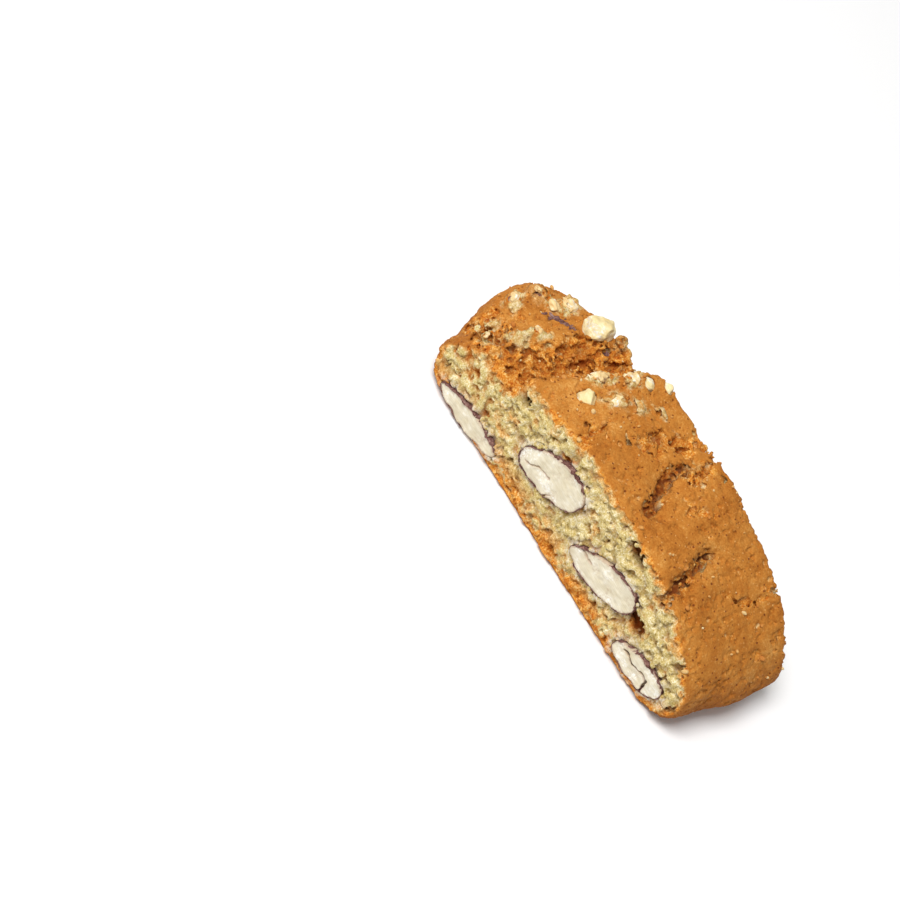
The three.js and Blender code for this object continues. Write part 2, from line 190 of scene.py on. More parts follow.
class Volume:
    """A box of cells. A field on it holds one number for each cell."""

    def __init__(self, low, high, cell):
        self.cell = cell
        self.first = np.floor(np.array(low) / cell).astype(int)
        self.shape = tuple(np.ceil(np.array(high) / cell).astype(int) - self.first + 1)
        self.transform = openvdb.createLinearTransform(cell)
        lines = [(self.first[k] + np.arange(self.shape[k])) * cell for k in range(3)]
        self.lines = [line.astype(np.float32) for line in lines]
        self.x, self.y, self.z = np.ix_(*self.lines)

    def distance_to(self, points, triangles, quads=None):
        """Distance to a closed mesh, negative inside it."""
        grid = openvdb.FloatGrid.createLevelSetFromPolygons(
            points.astype(np.float32), triangles=triangles.astype(np.uint32),
            quads=None if quads is None else quads.astype(np.uint32),
            transform=self.transform, halfWidth=FIELD_REACH / self.cell)
        field = np.empty(self.shape, np.float32)
        grid.copyToArray(field, ijk=tuple(int(i) for i in self.first))
        return field

    def surface(self, field):
        """Points, triangles and quads of the surface where the field is 0."""
        grid = openvdb.FloatGrid(float(FIELD_REACH))
        grid.copyFromArray(np.ascontiguousarray(field, np.float32), ijk=tuple(int(i) for i in self.first))
        grid.transform = self.transform
        return grid.convertToPolygons(0.0, 0.0)

    def waves(self, wavelength, random):
        """Smooth random waves of about one wavelength, with a spread of 1."""
        spectrum = np.fft.rfftn(random.standard_normal(self.shape, dtype=np.float32))
        rates = [np.fft.fftfreq(n, self.cell) for n in self.shape[:2]]
        rates.append(np.fft.rfftfreq(self.shape[2], self.cell))
        a, b, c = np.ix_(*rates)
        rate = np.sqrt(a * a + b * b + c * c)
        spectrum *= np.exp(-((rate * wavelength - 1.0) / 0.4) ** 2)
        field = np.fft.irfftn(spectrum, s=self.shape).astype(np.float32)
        return field / field.std()

    def clumps(self, size, band, random):
        """How far each cell of the band is from the middle of its clump: 0 there, about 1 in the creases."""
        place = [line[cells] / size for line, cells in zip(self.lines, np.nonzero(band))]
        home = [np.floor(along).astype(np.int32) for along in place]
        lowest = [along.min() - 1 for along in home]
        count = [along.max() - low + 2 for along, low in zip(home, lowest)]
        jitter = random.uniform(0.1, 0.9, (3, math.prod(count))).astype(np.float32)
        strides = (count[1] * count[2], count[2], 1)
        number = sum((along - low) * stride for along, low, stride in zip(home, lowest, strides))
        within = [(along - start).astype(np.float32) for along, start in zip(place, home)]
        nearest = np.full(len(number), np.inf, np.float32)
        for step in np.ndindex(3, 3, 3):
            seed = number + sum((s - 1) * stride for s, stride in zip(step, strides))
            away = [jitter[k][seed] + (step[k] - 1 - within[k]) for k in range(3)]
            nearest = np.minimum(nearest, away[0] ** 2 + away[1] ** 2 + away[2] ** 2)
        field = np.ones(self.shape, np.float32)
        field[band] = nearest
        return field

    def sample(self, field, points):
        """The field's value at each point, from the eight cells round it."""
        place = points / self.cell - self.first
        place = np.clip(place, 0, np.array(self.shape) - 1.001)
        corner = place.astype(int)
        share = (place - corner).astype(np.float32)
        total = np.zeros(len(points), np.float32)
        for step in np.ndindex(2, 2, 2):
            weight = np.prod(np.where(step, share, 1 - share), axis=1)
            i, j, k = (corner + step).T
            total += weight * field[i, j, k]
        return total

    def window(self, centre, reach):
        """Slices round a point, and the offsets of their cells from it."""
        slices, offsets = [], []
        for line, middle in zip(self.lines, centre):
            low, high = np.searchsorted(line, (middle - reach, middle + reach))
            slices.append(slice(low, high))
            offsets.append(line[low:high] - middle)
        return tuple(slices), np.ix_(*offsets)

    def finer(self, low, high, cell):
        """A smaller volume with finer cells, and a function that carries this volume's fields to it."""
        part = Volume(low, high, cell)
        points = np.stack(np.broadcast_arrays(part.x, part.y, part.z), axis=-1).reshape(-1, 3)
        return part, lambda field: self.sample(field, points).reshape(part.shape)


def rounded_maximum(a, b, reach):
    """The larger of two fields, with the corner between them rounded off."""
    return np.maximum(a, b) + np.clip(reach - np.abs(a - b), 0.0, None) ** 2 / (4.0 * reach)


def ellipsoid(offsets, half, tilt=0.0, turn=0.0):
    """Roughly the distance to an ellipsoid, positive inside. It tilts about Y and then turns about Z."""
    x, y, z = offsets
    a, b = math.radians(turn), math.radians(tilt)
    x, y = x * math.cos(a) + y * math.sin(a), y * math.cos(a) - x * math.sin(a)
    x, z = x * math.cos(b) + z * math.sin(b), z * math.cos(b) - x * math.sin(b)
    size = np.sqrt((x / half[0]) ** 2 + (y / half[1]) ** 2 + (z / half[2]) ** 2)
    return (1.0 - size) * min(half)


def carve(volume, field, centre, half, tilt=0.0, texture=None, texture_height=0.0):
    """Cuts an ellipsoid out of the solid that the field describes."""
    window, offsets = volume.window(centre, max(half) + 1.0)
    inside = ellipsoid(offsets, half, tilt)
    if texture is not None:
        inside = inside + texture_height * texture[window]
    field[window] = np.maximum(field[window], inside)


def crossing(line, field, axis, from_end):
    """Where the solid starts along an axis, seen from one end, with NaN where there is none."""
    field = np.moveaxis(field, axis, 0)
    line = line[::-1] if from_end else line
    field = field[::-1] if from_end else field
    solid = field < 0
    first = np.argmax(solid, axis=0)
    found = solid.any(axis=0) & (first > 0)
    inner = np.take_along_axis(field, first[None], 0)[0]
    outer = np.take_along_axis(field, np.maximum(first - 1, 0)[None], 0)[0]
    share = np.where(found, inner / np.minimum(inner - outer, -1e-6), 0)
    place = line[first] + (line[np.maximum(first - 1, 0)] - line[first]) * share
    return np.where(found, place, np.nan).astype(np.float32)


def uncut_loaf(volume, solid):
    """Distance to the loaf's own crust, as if it ran on past both cuts with its pockets filled."""
    inner = np.clip(np.arange(volume.shape[1]), *np.searchsorted(volume.lines[1], (-CUT_Y + 1, CUT_Y - 1)))
    solid = solid[:, inner, :]
    low_z = crossing(volume.lines[2], solid, 2, False)[:, :, None]
    high_z = crossing(volume.lines[2], solid, 2, True)[:, :, None]
    low_x = crossing(volume.lines[0], solid, 0, False)[None]
    high_x = crossing(volume.lines[0], solid, 0, True)[None]
    upright = np.maximum(low_z - volume.z, volume.z - high_z)
    level = np.maximum(low_x - volume.x, volume.x - high_x)
    filled = np.fmax(upright, level)
    filled = np.where(np.isnan(filled), FIELD_REACH, filled).clip(-FIELD_REACH, FIELD_REACH)
    points, triangles, quads = volume.surface(filled)
    return volume.distance_to(points, triangles, quads)


def distance_to_path(x, y, path):
    """Distance from each place to a path. The places and the path share one plane."""
    nearest = np.full(np.broadcast_shapes(x.shape, y.shape), np.inf, np.float32)
    for (ax, ay), (bx, by) in zip(path, path[1:]):
        dx, dy = bx - ax, by - ay
        share = np.clip(((x - ax) * dx + (y - ay) * dy) / (dx * dx + dy * dy), 0, 1)
        nearest = np.minimum(nearest, np.hypot(x - ax - share * dx, y - ay - share * dy))
    return nearest


# ---------------------------------------------------------------------------------------------
# Meshes
# ---------------------------------------------------------------------------------------------


def node_mesh(name):
    """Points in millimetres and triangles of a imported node."""
    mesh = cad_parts[name].data
    points = np.empty(len(mesh.vertices) * 3, np.float32)
    mesh.vertices.foreach_get("co", points)
    mesh.calc_loop_triangles()
    triangles = np.empty(len(mesh.loop_triangles) * 3, np.int32)
    mesh.loop_triangles.foreach_get("vertices", triangles)
    return points.reshape(-1, 3) * METRE, triangles.reshape(-1, 3)


def joined(meshes):
    """Several meshes of points and faces as one."""
    points, faces, count = [], [], 0
    for more_points, more_faces in meshes:
        points.append(more_points)
        faces.append(np.asarray(more_faces) + count)
        count += len(more_points)
    return np.concatenate(points), np.concatenate(faces)


def new_object(name, points, faces):
    """A smooth mesh object from points in millimetres."""
    mesh = bpy.data.meshes.new(name)
    mesh.from_pydata((np.asarray(points, float) / METRE).tolist(), [], np.asarray(faces).tolist())
    mesh.validate()
    mesh.shade_smooth()
    thing = bpy.data.objects.new(name, mesh)
    bpy.context.scene.collection.objects.link(thing)
    return thing


def points_of(thing):
    points = np.empty(len(thing.data.vertices) * 3, np.float32)
    thing.data.vertices.foreach_get("co", points)
    return points.reshape(-1, 3) * METRE


def part_labels(points, faces):
    """A number for each point, the same for points that faces join."""
    label = np.arange(len(points))
    edges = np.concatenate([faces[:, [k, (k + 1) % faces.shape[1]]] for k in range(faces.shape[1])])
    while True:
        low = np.minimum(label[edges[:, 0]], label[edges[:, 1]])
        better = label.copy()
        np.minimum.at(better, edges[:, 0], low)
        np.minimum.at(better, edges[:, 1], low)
        better = better[better]
        if (better == label).all():
            return label
        label = better


def large_parts(points, faces, least):
    """Drops every part of the mesh with fewer points than least, and the unused points."""
    label = part_labels(points, faces)
    kept = np.bincount(label, minlength=len(points))[label] >= least
    number = np.cumsum(kept) - 1
    return points[kept], number[faces[kept[faces[:, 0]]]]


def largest_part(points, faces):
    label = part_labels(points, faces)
    return large_parts(points, faces, np.bincount(label).max())


def main_surface(volume, field):
    """Points and quads of the largest surface where the field is 0."""
    points, _, quads = volume.surface(field)
    return largest_part(points, quads)


def decimated(thing, triangles):
    """Simplifies a mesh to about so many triangles."""
    thing.data.calc_loop_triangles()
    modifier = thing.modifiers.new("fewer", "DECIMATE")
    modifier.ratio = min(1.0, triangles / len(thing.data.loop_triangles))
    view = bpy.context.evaluated_depsgraph_get()
    mesh = bpy.data.meshes.new_from_object(thing.evaluated_get(view))
    thing.modifiers.clear()
    thing.data = mesh
    mesh.shade_smooth()
    return thing


def set_attribute(thing, name, values):
    attribute = thing.data.attributes.new(name, "FLOAT", "POINT")
    attribute.data.foreach_set("value", np.asarray(values, np.float32))


# ---------------------------------------------------------------------------------------------
# The dough: crust and crumb
# ---------------------------------------------------------------------------------------------

ALMONDS = sorted(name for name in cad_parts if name.startswith("almond"))
CHIPS = sorted(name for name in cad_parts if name.startswith("nut_chip"))


def breaks(low, high, random, count=7):
    """Flat breaks across a lump in this box: each is a normal, and how far along it the lump goes."""
    centre, half = (low + high) / 2, (high - low) / 2
    planes = []
    for _ in range(count):
        normal = random.normal(size=3)
        normal[2] = abs(normal[2]) * 0.8
        normal /= np.linalg.norm(normal)
        reach = np.linalg.norm(half * normal) * random.uniform(0.66, 0.86)
        planes.append((normal, normal @ centre + reach))
    return planes


def broken(volume, field, planes):
    """A lump's field, split along its flat breaks."""
    for normal, reach in planes:
        along = volume.x * normal[0] + volume.y * normal[1] + volume.z * normal[2]
        field = np.maximum(field, (along - reach).astype(np.float32))
    return field


def box_of(name):
    """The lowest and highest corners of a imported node, in millimetres."""
    return tuple(np.array(corner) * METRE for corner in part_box(name))


BREAK_RANDOM = np.random.default_rng(BREAK_SEED)
BREAKS = {name: breaks(*box_of(name), BREAK_RANDOM) for name in CHIPS}


def make_fields(volume, random):
    """The fields that shape and colour the dough."""
    fields = {}
    fields["crust"] = uncut_loaf(volume, volume.distance_to(*node_mesh("biscuit")))
    packed_almonds = volume.distance_to(*joined(node_mesh(name) for name in ALMONDS))
    chips = [broken(volume, volume.distance_to(*node_mesh(name)), BREAKS[name]) for name in CHIPS]
    fields["chips"] = np.minimum.reduce(chips)
    fields["slab"] = np.broadcast_to(np.abs(volume.y) - CUT_Y, volume.shape)
    for wavelength in WAVELENGTHS:
        fields[f"waves_{wavelength}"] = volume.waves(wavelength, random)
    fields["almonds"] = uneven_nut(packed_almonds, fields["waves_4.5"])
    outline = np.maximum(fields["crust"], fields["slab"])
    band = (outline > CLUMP_BAND[0]) & (outline < CLUMP_BAND[1])
    for name, size in CLUMP_SIZES.items():
        fields[name] = volume.clumps(size, band, random)
    return fields


def burst_field(volume, fields):
    """1 where the crust has burst open, 0 where it is whole, and how much deeper the crumb lies there."""
    share = np.zeros(volume.shape, np.float32)
    depth = np.zeros(volume.shape, np.float32)
    crown = smooth_step(*CROWN_RISE, volume.z)
    ragged = 0.45 * fields["waves_2.2"] + 0.45 * fields["waves_4.5"] + 0.3 * fields["waves_1.2"]
    for burst in BURSTS:
        distance = distance_to_path(volume.x[:, :, 0], volume.y[:, :, 0], burst["path"])[:, :, None]
        edge = burst["half_width"] + burst["ragged"] * ragged
        here = crown * smooth_step(0.25, -0.25, distance - edge)
        depth = np.maximum(depth, here * burst["depth"])
        share = np.maximum(share, here)
    return share, depth


def crack_field(volume, fields):
    """How deep the open cracks go."""
    depth = np.zeros(volume.shape, np.float32)
    drift = 0.55 * fields["waves_2.2"] + 0.45 * fields["waves_1.2"] + 0.15 * fields["waves_0.7"]
    crown = smooth_step(*CROWN_RISE, volume.z)
    for crack in CRACKS:
        distance = distance_to_path(volume.x[:, :, 0], volume.y[:, :, 0], crack["path"])[:, :, None]
        share = smooth_step(crack["half_width"], 0.3 * crack["half_width"], distance + drift.clip(-0.8, 1.2))
        depth = np.maximum(depth, crown * crack["depth"] * share)
    return depth


def pore_places(volume, near, count, random):
    """Random cells where a mask is true, as points."""
    cells = np.argwhere(near)
    chosen = cells[random.integers(0, len(cells), count)]
    return (chosen + volume.first) * volume.cell + random.uniform(-0.5, 0.5, (count, 3)) * volume.cell


def add_lumps(volume, fields):
    """Raises the lumps on the crust, and notes how pale the dough is there."""
    pale = np.zeros(volume.shape, np.float32)
    crust = fields["crust"]
    for lump in LUMPS:
        window, offsets = volume.window(lump["at"], max(lump["half"]) + 1.2)
        inside = ellipsoid(offsets, lump["half"], turn=lump["turn"]) + 0.3 * fields["waves_2.2"][window]
        crust[window] = np.minimum(crust[window], -inside)
        here = lump["pale"] * smooth_step(-0.5, 0.3, inside)
        pale[window] = np.maximum(pale[window], here)
    fields["pale"] = pale


def relief(volume, fields):
    """How far the surface lies inside the plain outline, cell by cell."""
    waves = {wavelength: fields[f"waves_{wavelength}"] for wavelength in WAVELENGTHS}
    big, middle, small = (np.minimum(fields[name], 1.0) for name in ("big", "middle", "small"))
    burst, burst_depth = burst_field(volume, fields)

    crumb = -0.5 + 2.3 * middle + 0.7 * small + 0.25 * waves[4.5].clip(-1.5, 1.5)
    crumb += 0.9 * smooth_step(0.16, 0.0, np.abs(waves[4.5])) * smooth_step(0.0, 1.0, waves[9.0])
    crust = -0.06 + 0.07 * waves[9.0] + 0.06 * waves[2.2] + 0.26 * small + 0.16 * middle
    torn = burst_depth - 1.1 + 2.8 * big + 1.7 * middle + 0.6 * small
    in_crust = smooth_step(-1.6, -0.4, fields["crust"])
    at_edge = in_crust * smooth_step(-1.3, -0.1, fields["slab"])
    toward_base = smooth_step(4.0, 0.5, volume.z)
    broken_edge = at_edge * (1.1 * middle + 0.3 * waves[2.2].clip(-0.5, 1.5) + 1.2 * toward_base * big)
    crack = crack_field(volume, fields) * smooth_step(-3.2, -1.6, fields["crust"])
    offset = crumb * (1 - in_crust) + in_crust * (burst * torn + (1 - burst) * crust) + broken_edge
    offset = np.maximum(offset, crack)
    fields["crack"] = smooth_step(0.2, 0.9, crack)

    on_cut = smooth_step(-1.3, -0.4, fields["slab"]) * smooth_step(-0.9, -1.7, fields["crust"])
    fields["burst"] = burst * (1 - on_cut)
    # how deep each place lies in a crease; the dough's painted shade follows it
    fields["crease"] = (1 - in_crust) * (0.75 * middle + 0.25 * small) \
        + in_crust * burst * (0.8 * big + 0.5 * middle + 0.25 * small)
    # the flat base stays flat enough to stand on
    under = np.minimum(offset, 0.3) * smooth_step(-0.2, 0.8, volume.z)
    return np.where(volume.z < 0.8, np.maximum(under, broken_edge), offset)


def carve_pores(volume, fields, dough, random):
    """Cuts the pores of the crust, the crumb and the torn places, and then the hollows."""
    crust, slab, burst = fields["crust"], fields["slab"], fields["burst"]
    crust_skin = (np.abs(crust) < 0.2) & (slab < -0.2) & (volume.z > 1.2) & (burst < 0.5)
    crumb_skin = (np.abs(slab) < 0.2) & (crust < -0.7)
    torn_skin = (np.abs(crust + 1.0) < 0.5) & (slab < 0.0) & (burst > 0.8)
    for place in pore_places(volume, crust_skin & (fields["waves_9.0"] > -0.9), 2400, random):
        radius = min(0.5, 0.2 + 0.09 * random.exponential())
        half = radius * random.uniform(0.8, 1.5, 3)
        carve(volume, dough, place, half)
    for place in pore_places(volume, crust_skin & (fields["waves_4.5"] > 0.5), 420, random):
        half = random.uniform(0.32, 0.62) * random.uniform(0.7, 1.5, 3)
        carve(volume, dough, place, half, random.uniform(0, 180), fields["waves_0.7"], 0.12)
    for place in pore_places(volume, crumb_skin, 1100, random):
        radius = min(1.1, 0.28 + 0.18 * random.exponential())
        half = radius * random.uniform((0.6, 1.3, 0.6), (1.5, 2.4, 1.5))
        carve(volume, dough, place, half, random.uniform(0, 180), fields["waves_0.7"], 0.12)
    for place in pore_places(volume, torn_skin, 420, random):
        half = random.uniform(0.35, 0.9) * random.uniform(0.7, 1.4, 3)
        carve(volume, dough, place, half, random.uniform(0, 180), fields["waves_0.7"], 0.12)
    for hollow in HOLLOWS:
        carve(volume, dough, hollow["at"], hollow["half"], hollow["tilt"], fields["waves_1.2"], 0.2)


def uneven_nut(distance, waves):
    """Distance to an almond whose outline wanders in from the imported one."""
    return distance + 0.06 + 0.16 * waves.clip(-0.4, 2.0)


def nut_gap(waves):
    """How far the crumb has drawn back from an almond. It varies along the almond."""
    return 0.04 + 0.15 * waves.clip(0.0, 1.6)


def make_dough(volume, fields, random):
    """The whole baked dough, with seats for the almonds and chips."""
    add_lumps(volume, fields)
    base = rounded_maximum(fields["crust"], fields["slab"], EDGE_ROUNDING)
    dough = base + relief(volume, fields)
    carve_pores(volume, fields, dough, random)
    climb = 0.55 * smooth_step(1.1, 0.1, fields["chips"]) * (fields["slab"] < -0.3)
    dough = dough - climb
    dough = np.maximum(dough, nut_gap(fields["waves_2.2"]) - fields["almonds"])
    dough = np.maximum(dough, 0.05 - fields["chips"])
    fields["base"] = base
    fields["dough"] = dough
    return decimated(new_object("dough", *main_surface(volume, dough)), DOUGH_TRIANGLES)


def paint_dough(thing, volume, fields):
    """Stores on each vertex what the material needs to know about its place."""
    points = points_of(thing)
    set_attribute(thing, "depth", -volume.sample(fields["crust"], points))
    set_attribute(thing, "sunk", -volume.sample(fields["base"], points))
    set_attribute(thing, "near_nut", volume.sample(fields["almonds"], points))
    for name in ("burst", "crease", "pale", "crack"):
        set_attribute(thing, name, volume.sample(fields[name], points))


# ---------------------------------------------------------------------------------------------
# Almonds, their skins, and crumbs
# ---------------------------------------------------------------------------------------------

NUT_CELL = 0.17
NUT_MARGIN = 1.0
CHIP_CELL = 0.13
CHIP_MARGIN = 0.8
SKIN_CELL = 0.12
SKIN_MARGIN = 1.2
SKIN_THICKNESS = 0.13
SKIN_LEAST_POINTS = 60
SKIN_DEPTH = 2.2
PAST_CUT_INSET = 0.7


def nut_volume(volume, name, cell, margin):
    low, high = box_of(name)
    return volume.finer(low - margin, high + margin, cell)


def cut_side(name):
    """-1 for an almond in the front cut, 1 for one in the back cut."""
    low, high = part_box(name)
    return -1 if abs(low[1] * METRE + CUT_Y) < abs(high[1] * METRE - CUT_Y) else 1


def whole_nut(part, field, side):
    """Distance to the almond's own skin, as if it ran straight on past the cut."""
    line = part.lines[1]
    inner = (PAST_CUT_INSET - CUT_Y, line[-1]) if side < 0 else (line[0], CUT_Y - PAST_CUT_INSET)
    rows = np.clip(np.arange(part.shape[1]), *np.searchsorted(line, inner))
    return field[:, np.minimum(rows, part.shape[1] - 1), :]


def make_almond(name, volume, fields):
    """The flesh of one cut almond."""
    part, carried = nut_volume(volume, name, NUT_CELL, NUT_MARGIN)
    side = cut_side(name)
    fine, broad = carried(fields["waves_1.2"]), carried(fields["waves_4.5"])
    whole = uneven_nut(whole_nut(part, part.distance_to(*node_mesh(name)), side), broad)
    beyond_cut = side * part.y - CUT_Y
    dish = 0.28 * smooth_step(0.0, -3.0, whole) + 0.10 * broad + 0.035 * fine
    flesh = np.maximum(whole, beyond_cut + dish)
    at_cut = 0 if side < 0 else part.shape[1] - 1
    drift = 0.3 * broad[:, at_cut, :]
    groove = np.zeros(part.shape, np.float32)
    for line in GROOVES.get(name, []):
        away = distance_to_path(part.x[:, 0, :] + drift, part.z[:, 0, :] - drift, line["path"])[:, None, :]
        width = line["half_width"] * (1 + 0.35 * fine)
        here = smooth_step(2.0, 0.4, away / width)
        flesh = np.maximum(flesh, np.minimum(width - away, beyond_cut + line["depth"]))
        groove = np.maximum(groove, here)
    points, quads = main_surface(part, flesh)
    thing = new_object(f"{name}_flesh", points, quads)
    set_attribute(thing, "rim", -part.sample(whole, points))
    set_attribute(thing, "groove", part.sample(groove, points))
    return thing


def skin_mesh(name, volume, fields):
    """The papery skin round one almond: it wrinkles away from the flesh and is missing in places."""
    part, carried = nut_volume(volume, name, SKIN_CELL, SKIN_MARGIN)
    side = cut_side(name)
    whole = whole_nut(part, part.distance_to(*node_mesh(name)), side)
    whole = uneven_nut(whole, carried(fields["waves_4.5"]))
    gap = nut_gap(carried(fields["waves_2.2"]))
    wrinkle = carried(fields["waves_1.2"])
    missing = carried(fields["waves_9.0"]) + 0.5 * carried(fields["waves_2.2"]) + 0.3 * wrinkle
    middle = gap * 0.5 + 0.12 * wrinkle * smooth_step(0.1, 0.4, gap)
    shell = np.abs(whole - middle) - SKIN_THICKNESS / 2
    proud = side * part.y - CUT_Y - 0.12 - 0.16 * wrinkle
    deep = CUT_Y - SKIN_DEPTH - side * part.y
    shell = np.maximum(shell, np.maximum(np.maximum(proud, deep), 0.35 * (missing - 0.9)))
    points, _, quads = part.surface(shell)
    return large_parts(points, quads, SKIN_LEAST_POINTS)


def flake_mesh(flake, volume, fields):
    """A flake of skin that lies on the crown."""
    path = np.array(flake["path"])
    low, high = path.min(axis=0) - 1.8, path.max(axis=0) + 1.8
    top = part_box("biscuit")[1][2] * METRE
    part, carried = volume.finer((*low, 8.0), (*high, top + 1.0), SKIN_CELL)
    away = distance_to_path(part.x[:, :, 0], part.y[:, :, 0], flake["path"])[:, :, None]
    width = flake["half_width"] + 0.3 * carried(fields["waves_1.2"])
    lifted = carried(fields["dough"]) - 0.05
    shell = np.maximum(np.abs(lifted) - SKIN_THICKNESS / 2, away - width)
    points, _, quads = part.surface(shell)
    return large_parts(points, quads, SKIN_LEAST_POINTS)


def make_skins(volume, fields):
    meshes = [skin_mesh(name, volume, fields) for name in ALMONDS]
    meshes += [flake_mesh(flake, volume, fields) for flake in SKIN_FLAKES]
    return new_object("almond_skins", *joined(meshes))


def make_chip(name, volume, fields):
    """A broken bit of almond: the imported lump, split along its flat breaks."""
    part, carried = nut_volume(volume, name, CHIP_CELL, CHIP_MARGIN)
    field = broken(part, part.distance_to(*node_mesh(name)), BREAKS[name])
    field = field + 0.04 * carried(fields["waves_1.2"]) + 0.05 * carried(fields["waves_2.2"])
    return nut_object(f"{name}_broken", *main_surface(part, field))


def bit_mesh(bit, volume, fields, random):
    """A small flake of broken almond or pale dough."""
    at, half = np.array(bit["at"]), np.array(bit["half"])
    reach = half.max() + 0.5
    part, carried = volume.finer(at - reach, at + reach, CHIP_CELL)
    offsets = (part.x - at[0], part.y - at[1], part.z - at[2])
    field = -ellipsoid(offsets, half, bit["tilt"], bit["turn"])
    field = broken(part, field, breaks(at - half, at + half, random))
    field = field + 0.10 * carried(fields["waves_1.2"]) + 0.12 * carried(fields["waves_2.2"])
    field = np.maximum(field, carried(fields["dough"]) - BIT_HEIGHT)
    return main_surface(part, field)


def nut_object(name, points, faces):
    """An object of nut with no cut rim and no groove."""
    thing = new_object(name, points, faces)
    set_attribute(thing, "rim", np.full(len(points), 2.0))
    set_attribute(thing, "groove", np.zeros(len(points)))
    return thing


def make_bits(volume, fields, random):
    return nut_object("pale_bits", *joined(bit_mesh(bit, volume, fields, random) for bit in PALE_BITS))


def crumb_shape(random):
    """Points and triangles of one crumb about the origin, with a radius of about 1."""
    ball = bmesh.new()
    bmesh.ops.create_icosphere(ball, subdivisions=2, radius=1.0)
    points = np.array([vertex.co[:] for vertex in ball.verts])
    faces = np.array([[vertex.index for vertex in face.verts] for face in ball.faces])
    ball.free()
    bumps = random.normal(size=(5, 3))
    bumps /= np.linalg.norm(bumps, axis=1)[:, None]
    height = np.exp(3.0 * (points @ bumps.T - 1.0)).sum(axis=1)
    return points * (0.72 + 0.45 * height)[:, None] * random.uniform(0.75, 1.2, 3), faces


CRUMB_TRIES = 300
CRUMB_SHAPES = 12


def make_crumbs(dough, random):
    """Loose crumbs on the crown and along the cut edges."""
    tree = BVHTree.FromObject(dough, bpy.context.evaluated_depsgraph_get())
    low, high = box_of("biscuit")
    shapes = [crumb_shape(random) for _ in range(CRUMB_SHAPES)]
    meshes, shades = [], []
    for _ in range(CRUMB_TRIES):
        x, y = random.uniform(low[0], high[0]), random.uniform(-CUT_Y, CUT_Y)
        crowded = abs(y) > CUT_Y - 2 or x < -5
        if not crowded and random.random() < 0.6:
            continue
        hit = tree.ray_cast(Vector((x, y, 60.0)) / METRE, Vector((0, 0, -1)))
        if hit[0] is None or hit[1].z < 0.35:
            continue
        size = min(0.5, 0.17 + 0.08 * random.exponential())
        points, faces = shapes[random.integers(len(shapes))]
        turn = np.array(Matrix.Rotation(random.uniform(0, 6.283), 3, Vector(random.normal(size=3))))
        centre = np.array(hit[0]) * METRE + np.array(hit[1]) * size * 0.45
        meshes.append((points @ turn.T * size + centre, faces))
        shades.append(np.full(len(points), random.random()))
    crumbs = new_object("crumbs", *joined(meshes))
    set_attribute(crumbs, "shade", np.concatenate(shades))
    return crumbs


# ---------------------------------------------------------------------------------------------
# Materials
# ---------------------------------------------------------------------------------------------


def linear(red, green, blue):
    """A display colour from 0 to 255 as the shader's linear colour."""
    channels = [value / 255 for value in (red, green, blue)]
    return tuple(c / 12.92 if c < 0.04045 else ((c + 0.055) / 1.055) ** 2.4 for c in channels) + (1.0,)


